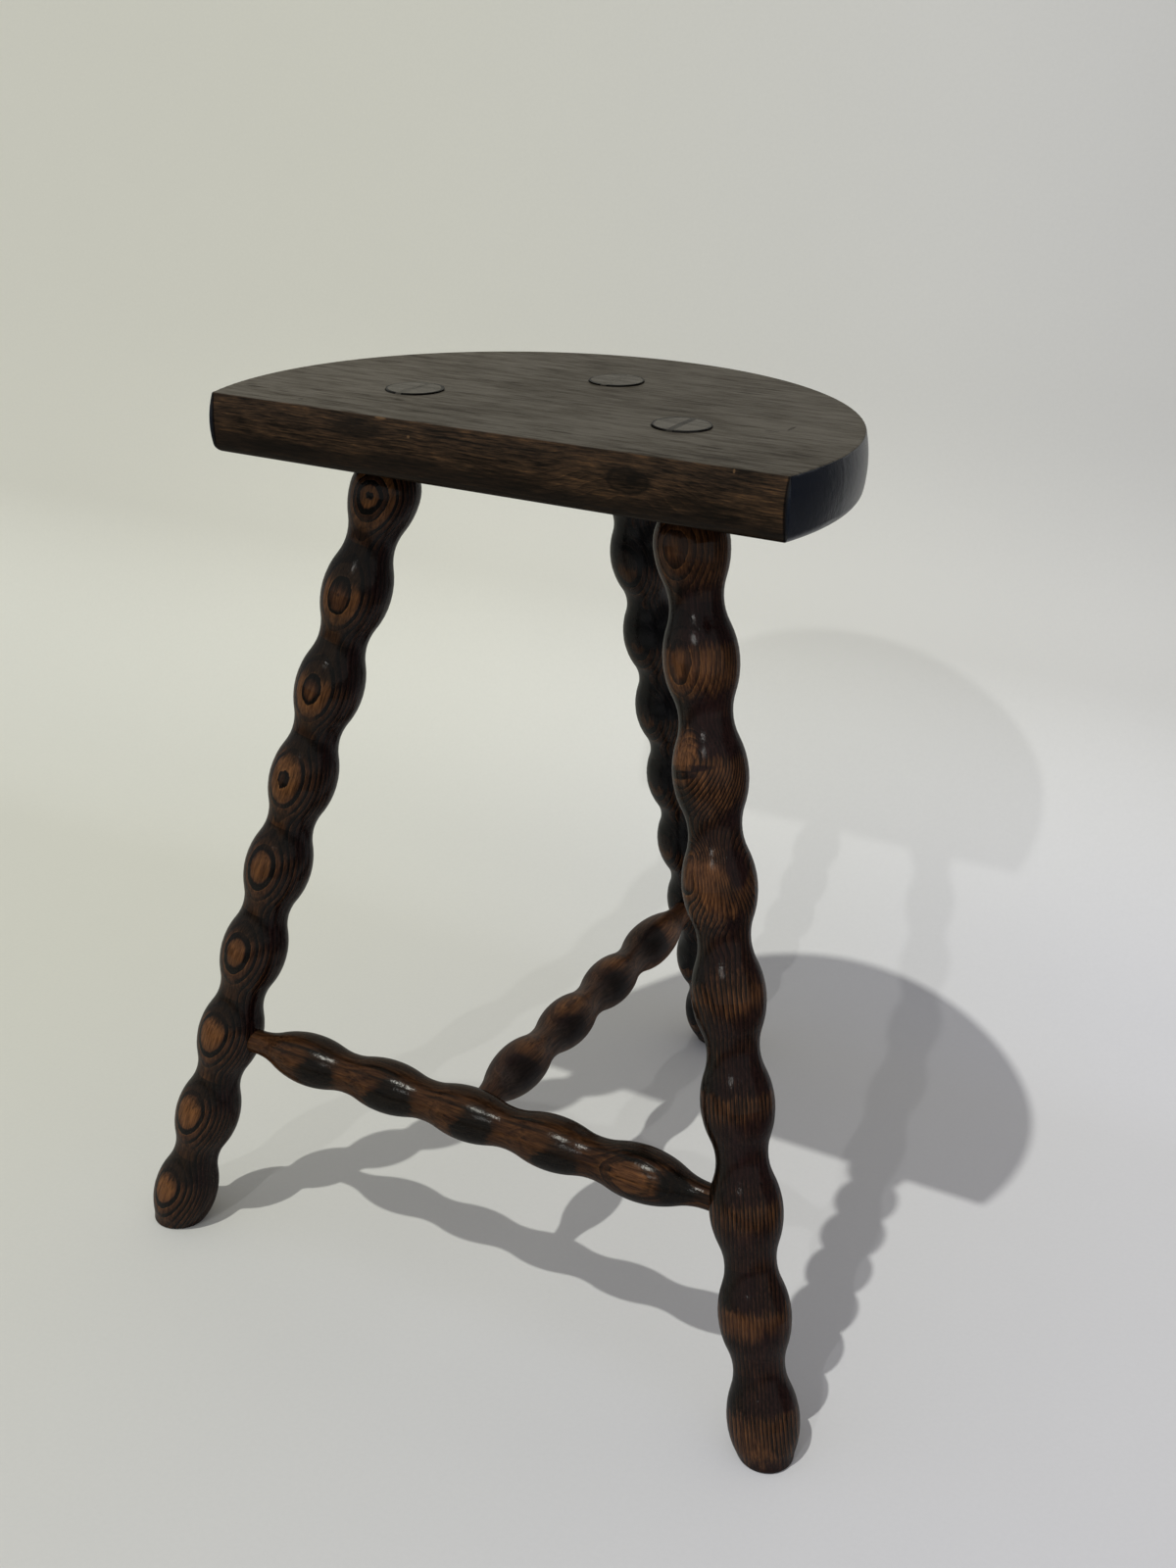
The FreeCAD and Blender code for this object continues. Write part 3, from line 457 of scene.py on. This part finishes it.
def front_stretcher_wood():
    """Amber between hard-edged black patches, dark lines along the top, one oval eye at the right."""
    wood = TurnedWood(
        "front_stretcher_wood", STRETCHER_MIDDLE, Vector((1.0, 0.0, 0.0)), Vector((0.0, -1.0, 0.16)),
        -(FRONT_STRETCHER_BOBBINS - 1) / 2 * FRONT_STRETCHER_PITCH, FRONT_STRETCHER_PITCH,
        FRONT_STRETCHER_CREST_RADIUS, FRONT_STRETCHER_BOBBINS, seed=3.1)
    plain = wood.fade(wood.bobbin, 3.3, 3.7, 0.85, 0.40)
    oval = wood.spot(5, -1, -12, 10.5, 7.6, 0.5, 0.15)
    oval_line = wood.less(wood.spot(5, -1, -12, 12.0, 9.0, 0.5, 0.12), oval)
    wood.rings(
        [8.5, 8.2, 8.0, 6.4, 0.75], [-5, -5, -5, -8, -12], wander=0.8, fine_width=2.1,
        calm=wood.largest(plain, wood.times(oval, 0.95)))
    patches = [
        wood.times(wood.spot(bobbin, past, degrees, length, width, ragged, soft), share)
        for bobbin, past, degrees, length, width, ragged, soft, share in (
            (1, 9, 14, 12, 9, 1.0, 0.3, 0.85), (1, 12, -26, 9, 9, 0.8, 0.5, 0.7),
            (2, 6, 26, 13.5, 10, 1.2, 0.22, 1.0), (2, 10, -12, 11, 10, 1.0, 0.4, 0.9),
            (3, 6.5, 24, 10.5, 9.5, 1.2, 0.2, 1.0), (3, 11, -16, 9, 9, 0.8, 0.4, 0.9),
            (4, 6, 28, 11, 7.5, 1.4, 0.2, 1.0), (4, 11, 0, 9, 11, 0.9, 0.4, 0.9),
            (5, 21, -10, 8, 14, 0.6, 0.3, 1.0), (5, 29, -20, 6, 5, 0.4, 0.4, 0.6), (5, 5, 50, 16, 5, 0.5, 0.3, 0.8))]
    lines = wood.spots(0.9, 0.45, (
        (1, -10, -28, 12, 0.9, 0.65), (1, -5, -48, 16, 1.1, 0.65), (2, -9, -38, 13, 0.9, 0.65),
        (2, -5, -60, 15, 1.2, 0.65), (3, -9, -40, 15, 0.9, 0.65), (3, -13, -55, 10, 0.9, 0.65),
        (4, -9, -44, 14, 1.0, 0.65), (4, -12, -62, 12, 1.0, 0.65), (5, -9, -52, 14, 1.0, 0.65),
        (5, 2, -66, 12, 1.2, 0.65)))
    top_side = wood.fade(wood.angle, math.radians(-42), math.radians(-88), 0.0, 0.70)
    low_side = wood.fade(wood.angle, math.radians(38), math.radians(70), 0.0, 0.55)
    cover = wood.cover(
        NO_BAND, 0.0, 0.0, 0.0, 1.0,
        dark=[*patches, *lines, wood.times(oval_line, 0.75), top_side, low_side], most=0.96)
    tone = wood.sum(wood.times(oval, 0.5), 1.0)
    colour, roughness, height, settings = wood.varnish(
        cover, OLIVE_STAIN, tone, Coat_Weight=0.24, Coat_Roughness=0.18)
    return wood.shade(colour, roughness, height, **settings)


def mid_stretcher_wood():
    """Soft purple-brown with a dark heart on the near half of each bobbin, and necks greyed by a painted sheen."""
    wood = TurnedWood(
        "mid_stretcher_wood", STRETCHER_MIDDLE, REAR_JOINT - STRETCHER_MIDDLE, Vector((1.0, 0.0, 0.3)),
        MID_STRETCHER_FIRST_CREST, MID_STRETCHER_PITCH, MID_STRETCHER_CREST_RADIUS, MID_STRETCHER_BOBBINS,
        seed=4.3)
    wood.rings([7.5, 7.0, 7.3, 7.0], [-60, -60, -60, -60], wander=1.2, fine_width=2.6, calm=0.75)
    hearts = wood.spots(1.1, 0.95, (
        (1, -11, -18, 13, 10, 0.95), (2, -11, -12, 12, 9, 0.95), (3, -10, -14, 12, 10, 0.95),
        (4, -9, -25, 12, 10, 0.95)))
    bare = wood.spots(0.8, 0.6, (
        (1, 3, -45, 8, 7, 0.6), (2, 0, -58, 9, 6, 0.6), (3, 4, -70, 8, 7, 0.6), (4, 8, -24, 8, 7, 0.6)))
    far_side = wood.fade(wood.angle, math.radians(-75), math.radians(-115), 0.0, 0.35)
    cover = wood.cover(NO_BAND, 0.0, 0.0, 0.44, 0.9, dark=[*hearts, far_side], bare=bare, most=0.96)
    heart = wood.math("MINIMUM", wood.sum(*hearts), 1.0)
    stain = wood.mix(heart, PURPLE_STAIN, HEART_STAIN)
    # Painted sheen: the necks are greyed in the colour, standing in for soft grey highlights there.
    neck_sheen = wood.fade(wood.math("ABSOLUTE", wood.in_bobbin), 0.22, 0.46, 0.0, 0.65)
    cover = wood.largest(cover, neck_sheen)
    stain = wood.mix(neck_sheen, stain, NECK_GREY_SHEEN)
    tone = wood.sum(wood.fade(wood.bobbin, 2.2, 2.8, 0.0, 1.2), 1.52)
    colour, roughness, height, settings = wood.varnish(cover, stain, tone, Coat_Weight=0.34, Coat_Roughness=0.36)
    return wood.shade(colour, roughness, height, **settings)


def board_top_colour(finish, here, tone=1.0):
    """The worn grey-brown of the seat's top, with short streaks along X."""
    streak = finish.noise_along_x(here, 0.12, 330, 5, 0.70)
    fibre = finish.noise_along_x(here, 0.05, 1300, 3, 0.6)
    cloud = finish.noise_along_x(here, 0.6, 22, 3, 0.55)
    value = finish.sum(finish.times(streak, 2.0), finish.times(fibre, 1.2), finish.times(cloud, 0.8), 0.5)
    colour = finish.ramp(value, [
        (0.12, (0.036, 0.030, 0.0235)), (0.34, (0.068, 0.059, 0.047)), (0.52, (0.088, 0.079, 0.065)),
        (0.80, (0.116, 0.105, 0.089))])
    return finish.lighten(colour, tone)


# The board's marks and its round side, with painted shade on the front's lower part and a painted blue reflection on
# the side.
PIT = (0.020, 0.016, 0.012)
TENON_FRONT_CRESCENT = (0.004, 0.0032, 0.0025)
FRONT_SHADOW = (0.0105, 0.0085, 0.0070)
FRONT_STAIN = (0.0080, 0.0068, 0.0056)
FRONT_CHIP = (0.120, 0.070, 0.036)
# The round side's near-black stain, tinted blue as a painted reflection.
SIDE_BLACK_WITH_BLUE_SHEEN, SIDE_GREY_WITH_BLUE_SHEEN = (0.0030, 0.0056, 0.0135), (0.0042, 0.0072, 0.0155)
CORNER_BLACK = (0.0012, 0.0014, 0.0022)

# The knot in the board's front, in millimetres along X and Z.
KNOT_PLACE = (72.7, 438.5)
GROWTH_LINE_WIDTH = 2.7


class BoardWood(Finish):
    """The seat's plank: a worn grey-brown top, a brown figured front, a black round side with a painted blue
    reflection, a dull underside.
    """

    def __init__(self):
        super().__init__("seat_board")
        self.room = self.add("TexCoord", output="Object")
        self.x, self.y, self.z = self.parts(self.room)
        self.speck = self.noise_along_x(self.room, 0.3, 700, 3, 0.6)
        self.wave = self.noise_along_x(self.room, 0.35, 55, 3, 0.55)
        self.patchy = self.noise_along_x(self.room, 0.30, 130, 4, 0.65)
        self.thread = self.noise_along_x(self.room, 0.12, 900, 4, 0.7)
        self.fibre = self.noise_along_x(self.room, 0.05, 1700, 2, 0.6)
        self.to_right = self.fade(self.x, -0.02, 0.13)

        # The top's pits and scratches: millimetres along X and Y, half a length, half a width.
        self.pits = [
            self.mark(across, back, length, width, self.y, 0.6, 0.4)
            for across, back, length, width in (
                (-99.6, -114.6, 1.0, 1.0), (-134.5, -104.0, 4.5, 1.0), (-139.0, -100.5, 3.0, 0.7),
                (-62.0, -92.0, 2.5, 1.2), (105.8, -56.9, 4.0, 0.6), (111.0, -48.0, 0.7, 4.0),
                (30.0, -108.0, 6.0, 0.7), (64.0, 10.0, 7.0, 0.8), (-40.0, -30.0, 6.0, 0.9), (96.0, -98.0, 5.0, 0.6))]

    def mark(self, across, up, half_length, half_width, other, ragged=0.5, soft=0.3):
        """A small blemish around a place given in millimetres along X and along the other axis."""
        along_x = self.times(self.less(self.x, across * MILLIMETRE), 1 / (half_length * MILLIMETRE))
        along_other = self.times(self.less(other, up * MILLIMETRE), 1 / (half_width * MILLIMETRE))
        away = self.sum(self.length(along_x, along_other), self.times(self.speck, ragged))
        return self.fade(away, 1 - soft, 1 + soft, 1.0, 0.0)

    def top_colour(self):
        """Streaks and pits, and a black crescent in front of each tenon."""
        colour = board_top_colour(self, self.room, self.fade(self.x, 0.0, -0.11, 1.0, 1.15))
        for pit in self.pits:
            colour = self.mix(self.times(pit, 0.6), colour, PIT)
        for tenon in (mirrored(FRONT_TENON), FRONT_TENON, REAR_TENON):
            back = self.less(self.y, tenon.y)
            from_axis = self.length(self.less(self.x, tenon.x), back)
            # The board is darkened in a thin crescent just in front of each tenon.
            front_crescent = self.times(
                self.fade(from_axis, TENON_RADIUS + 0.0010, TENON_RADIUS + 0.0004), self.fade(back, 0.004, -0.003))
            colour = self.mix(front_crescent, colour, TENON_FRONT_CRESCENT)
        return colour

    def front_colour(self):
        """Wavy growth lines around a dark knot, browner above and nearly black below, where shade is painted."""
        knot = self.mark(*KNOT_PLACE, 24.0, 13.0, self.z, 0.0, 0.95)
        height = self.times(self.z, 1 / MILLIMETRE)
        figure = self.sum(height, self.times(self.wave, 9.0), self.times(knot, -9.0))
        line = self.math("FRACT", self.times(figure, 1 / GROWTH_LINE_WIDTH))
        line = self.ramp(line, [(0.0, 1.0), (0.10, 0.42), (0.55, 0.50), (0.86, 0.0), (0.93, 0.1), (1.0, 1.0)])
        value = self.sum(
            self.times(line, 0.26), self.times(self.patchy, self.sum(self.times(self.to_right, 0.7), 0.8)),
            self.times(self.thread, 1.25), self.times(self.fibre, 0.9), self.times(self.to_right, 0.04), 0.30)
        colour = self.ramp(value, [
            (0.10, (0.0090, 0.0068, 0.0050)), (0.36, (0.0290, 0.0188, 0.0122)), (0.62, (0.058, 0.0345, 0.0200)),
            (0.92, (0.135, 0.072, 0.0330))])
        # Painted shade: the front's lower part is darkened towards FRONT_SHADOW, more so below.
        low = self.sum(height, self.times(self.wave, 12.0), self.times(self.to_right, 3.0))
        colour = self.mix(self.fade(low, 436.0, 429.0, 0.0, 0.78), colour, FRONT_SHADOW)

        knot_rim = self.less(
            self.mark(*KNOT_PLACE, 9.8, 5.4, self.z, 0.5, 0.12), self.mark(*KNOT_PLACE, 8.4, 4.3, self.z, 0.5, 0.2))
        stains = [self.times(knot_rim, 0.9)] + [
            self.times(self.mark(across, up, length, width, self.z, 0.7, 0.35), share)
            for across, up, length, width, share in (
                (*KNOT_PLACE, 9.0, 4.8, 0.3), (74.5, 439.2, 2.4, 1.7, 0.8), (-62.0, 443.0, 14.0, 5.0, 0.5),
                (20.0, 432.0, 16.0, 3.5, 0.5), (104.0, 433.0, 14.0, 2.6, 0.7), (-104.0, 430.0, 18.0, 3.0, 0.4))]
        for stain in stains:
            colour = self.mix(stain, colour, FRONT_STAIN)
        for chip in ((-49.5, 449.2, 2.8, 0.6), (-34.5, 443.0, 0.7, 0.6), (119.0, 448.6, 0.5, 0.8)):
            colour = self.mix(self.mark(*chip, self.z, 0.5, 0.3), colour, FRONT_CHIP)
        return colour

    def past_corner(self):
        """Metres past the upright corner between the front and the side, which laps 2 mm over at mid-height."""
        from_centre = self.length(self.x, self.less(self.y, SEAT_CENTRE))
        beyond_side = self.less(from_centre, SEAT_RADIUS)
        beyond_front = self.less(SEAT_FRONT, self.y)
        above_middle = self.times(self.less(self.z, SEAT_MIDDLE), 2 / SEAT_THICKNESS)
        lapped = self.times(self.without(self.times(above_middle, above_middle)), 0.0020)
        return self.sum(self.less(beyond_side, beyond_front), lapped)


def seat_wood():
    """The plank's four finishes, each on its own faces, with a black line at the upright corners."""
    wood = BoardWood()
    past_corner = wood.past_corner()
    on_side = wood.fade(past_corner, -0.0002, 0.0003)
    corner = wood.fade(wood.math("ABSOLUTE", past_corner), 0.0005, 0.0011, 0.85, 0.0)
    on_top = wood.fade(wood.z, SEAT_HEIGHT - 0.0006, SEAT_HEIGHT - 0.0002)
    underneath = wood.fade(wood.z, SEAT_BOTTOM + 0.0012, SEAT_BOTTOM + 0.0003)

    front = wood.front_colour()
    # The round side: near-black wood whose blue tint is a painted reflection.
    side = wood.mix(wood.fade(wood.patchy, -0.2, 0.3), SIDE_BLACK_WITH_BLUE_SHEEN, SIDE_GREY_WITH_BLUE_SHEEN)
    colour = wood.mix(corner, wood.mix(on_side, front, side), CORNER_BLACK)
    colour = wood.mix(on_top, colour, wood.top_colour())
    # The underside takes the front's colour, its painted shade included, darkened to 0.6.
    colour = wood.mix(underneath, colour, wood.lighten(front, 0.6))

    dents = wood.noise_along_x(wood.room, 0.09, 230, 4, 0.6)
    height = wood.sum(
        wood.times(dents, 0.16), wood.times(wood.thread, 0.05), wood.times(wood.largest(*wood.pits), -0.25))
    roughness = wood.sum(wood.times(on_top, 0.10), wood.times(underneath, 0.43), 0.42)
    coat = wood.sum(wood.times(on_side, wood.without(on_top), 0.52), 0.13)
    coat = wood.times(coat, wood.without(underneath))
    return wood.shade(colour, roughness, height, Specular_IOR_Level=0.0, Coat_Weight=coat, Coat_Roughness=0.22)


def wedge_wood():
    """The wedges' worn tops, darkest in the right leg's tenon and hardly told from the tenon in the rear leg's."""
    wood = Finish("wedge_wood")
    room = wood.add("TexCoord", output="Object")
    x, _, _ = wood.parts(room)
    to_left = wood.fade(x, -0.03, -0.05)
    to_right = wood.fade(x, 0.03, 0.05)
    darkness = wood.sum(0.85, wood.times(to_left, -0.15), wood.times(to_right, -0.50))
    colour = wood.lighten(board_top_colour(wood, room), darkness)
    return wood.shade(colour, 0.55, 0.0, Specular_IOR_Level=0.15)


def paint(node, material):
    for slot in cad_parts[node].material_slots:
        slot.material = material


def finish_pieces():
    """The frame's pieces are only painted: the frame gives their shapes and places."""
    paint("leg_front_left", left_leg_wood())
    paint("leg_front_right", right_leg_wood())
    paint("leg_rear", rear_leg_wood())
    paint("front_stretcher", front_stretcher_wood())
    paint("mid_stretcher", mid_stretcher_wood())
    paint("seat", seat_wood())
    wedge = wedge_wood()
    for node in ("wedge_front_left", "wedge_front_right", "wedge_rear"):
        paint(node, wedge)


def deselect():
    bpy.ops.object.select_all(action="DESELECT")


def paper_finish():
    """Pale paper, yellower on the left, with painted light that is brightest where it curves. The light it throws on
    the stool is duller.

    Only its front is there: from behind the wall, the stool is seen through it. The varnish mirrors it darker to
    the right of the stool and towards the camera.
    """
    paper = Finish("backdrop_paper")
    x, y, z = paper.parts(paper.add("TexCoord", output="Object"))
    way_up = paper.sum(y, z)
    # Painted light: the paper's brightness rises into the bend, eases on the wall, and is dimmer at the left and far
    # right, all in its colour.
    rise, drop = paper.fade(way_up, 0.28, 0.62), paper.fade(way_up, 0.62, 0.78)
    middle, far_right = paper.fade(x, -0.8, -0.1), paper.fade(x, 0.0, 0.45)
    bend = paper.sum(0.85, paper.times(middle, 0.17), paper.times(far_right, -0.16))
    wall = paper.sum(0.84, paper.times(middle, 0.03), paper.times(far_right, -0.18))
    upright = paper.sum(paper.times(bend, paper.without(drop)), paper.times(wall, drop))
    level = paper.sum(paper.times(upright, rise), paper.times(paper.without(rise), PAPER_LEVEL))
    place = paper.vector(x, y, z)
    mottle = paper.sum(
        paper.times(paper.noise(place, 420, 3, 0.6), 0.05), paper.times(paper.noise(place, 9, 3, 0.6), 0.02), 1.0)
    in_gloss = paper.add("LightPath", output="Is Glossy Ray")
    dim = paper.largest(paper.fade(x, 0.22, 0.50), paper.fade(y, -0.60, -0.80))
    level = paper.times(level, mottle, paper.without(paper.times(in_gloss, dim, MIRROR_DIMMING)))
    right_tint = paper.mix(rise, (0.993, 1.0, 1.085), (0.990, 1.0, 1.035))
    tint = paper.mix(paper.fade(x, -0.5, 0.38), (0.988, 1.0, 0.920), right_tint)
    tint = paper.mix(paper.fade(x, -0.9, -1.4), tint, (0.995, 1.0, 0.990))
    seen = paper.lighten(tint, level)
    colour = paper.mix(paper.seen_or_mirrored(), PAPER_BOUNCE, seen)
    from_behind = paper.add("NewGeometry", output="Backfacing")
    shader = paper.add("MixShader", {
        0: from_behind, 1: paper.add("BsdfDiffuse", {"Color": colour}), 2: paper.add("BsdfTransparent")})
    paper.add("OutputMaterial", {"Surface": shader})
    return paper.material


def select_edge(mesh, wanted):
    """Leaves just the edge selected whose two ends are both wanted."""
    for polygon in mesh.polygons:
        polygon.select = False
    for vertex in mesh.vertices:
        vertex.select = wanted(vertex.co)
    for edge in mesh.edges:
        edge.select = all(mesh.vertices[end].select for end in edge.vertices)


def sweep_paper():
    """A sheet of paper under the stool that curves up into a wall close behind it."""
    deselect()
    bpy.ops.mesh.primitive_plane_add(size=1.0, location=(0.0, (PAPER_WALL + PAPER_FRONT) / 2, 0.0))
    bpy.context.object.scale = (PAPER_SIZE, PAPER_WALL - PAPER_FRONT, 1.0)
    bpy.ops.object.transform_apply(location=True, scale=True)
    paper = bpy.context.object
    paper.name = "backdrop"
    select_edge(paper.data, lambda place: place.y > 0)
    bpy.ops.object.mode_set(mode="EDIT")
    bpy.ops.mesh.extrude_region_move(TRANSFORM_OT_translate={"value": (0.0, 0.0, PAPER_SIZE)})
    bpy.ops.object.mode_set(mode="OBJECT")
    select_edge(paper.data, lambda place: place.y > 0 and place.z < PAPER_SIZE / 2)
    bpy.ops.object.mode_set(mode="EDIT")
    bpy.ops.mesh.bevel(offset=PAPER_BEND, segments=BEND_FACES, profile=0.5)
    bpy.ops.mesh.select_all(action="SELECT")
    bpy.ops.mesh.faces_shade_smooth()
    bpy.ops.object.mode_set(mode="OBJECT")
    finish = paper_finish()
    paper.data.materials.append(finish)

    # The floor goes on behind the wall, a little lower than the paper.
    deselect()
    bpy.ops.mesh.primitive_plane_add(size=PAPER_SIZE, location=(0.0, PAPER_SIZE / 2, -FLOOR_DROP))
    bpy.ops.object.transform_apply(location=True)
    floor = bpy.context.object
    floor.name = "floor_behind"
    floor.data.materials.append(finish)


def studio():
    """The paper, a soft even sky, and two lamps high up in front of the stool."""
    sweep_paper()
    air = Finish("studio_air", bpy.data.worlds)
    bpy.context.scene.world = air.material
    colour = air.mix(air.seen_or_mirrored(), SKY_LIGHT, SKY_SEEN)
    air.add("OutputWorld", {"Surface": air.add("Background", {"Color": colour, "Strength": 1.0})})

    for name, travel, strength, colour in (
            ("high_lamp", Vector((0.130, 0.420, -0.898)), 1.32, (1.0, 0.995, 0.90)),
            ("low_lamp", Vector((-0.008, 0.799, -0.601)), 0.25, (1.0, 0.995, 0.95))):
        lamp = bpy.data.lights.new(name, "SUN")
        lamp.energy = strength
        lamp.color = colour
        lamp.angle = LAMP_SPREAD
        holder = bpy.data.objects.new(name, lamp)
        holder.rotation_euler = travel.to_track_quat("-Z", "Y").to_euler()
        bpy.context.scene.collection.objects.link(holder)


def photograph():
    """The camera stands in front, to the right and above, and looks down at the stool."""
    place = Vector((0.40022, -0.75663, 0.61835))
    yaw, pitch, roll = -0.498, 0.4165, -0.0191
    forward = Vector((math.sin(yaw) * math.cos(pitch), math.cos(yaw) * math.cos(pitch), -math.sin(pitch)))
    level = Vector((math.cos(yaw), -math.sin(yaw), 0.0))
    down = forward.cross(level)
    right = math.cos(roll) * level + math.sin(roll) * down
    down = math.cos(roll) * down - math.sin(roll) * level
    camera = bpy.data.cameras.new("camera")
    camera.lens = 40.936
    camera.sensor_width = 36.0
    camera.clip_end = 500.0
    holder = bpy.data.objects.new("camera", camera)
    holder.matrix_world = Matrix.Translation(place) @ Matrix((right, -down, -forward)).transposed().to_4x4()
    bpy.context.scene.collection.objects.link(holder)
    bpy.context.scene.camera = holder


photograph()
studio()
finish_pieces()
bpy.context.scene.view_settings.view_transform = "Standard"
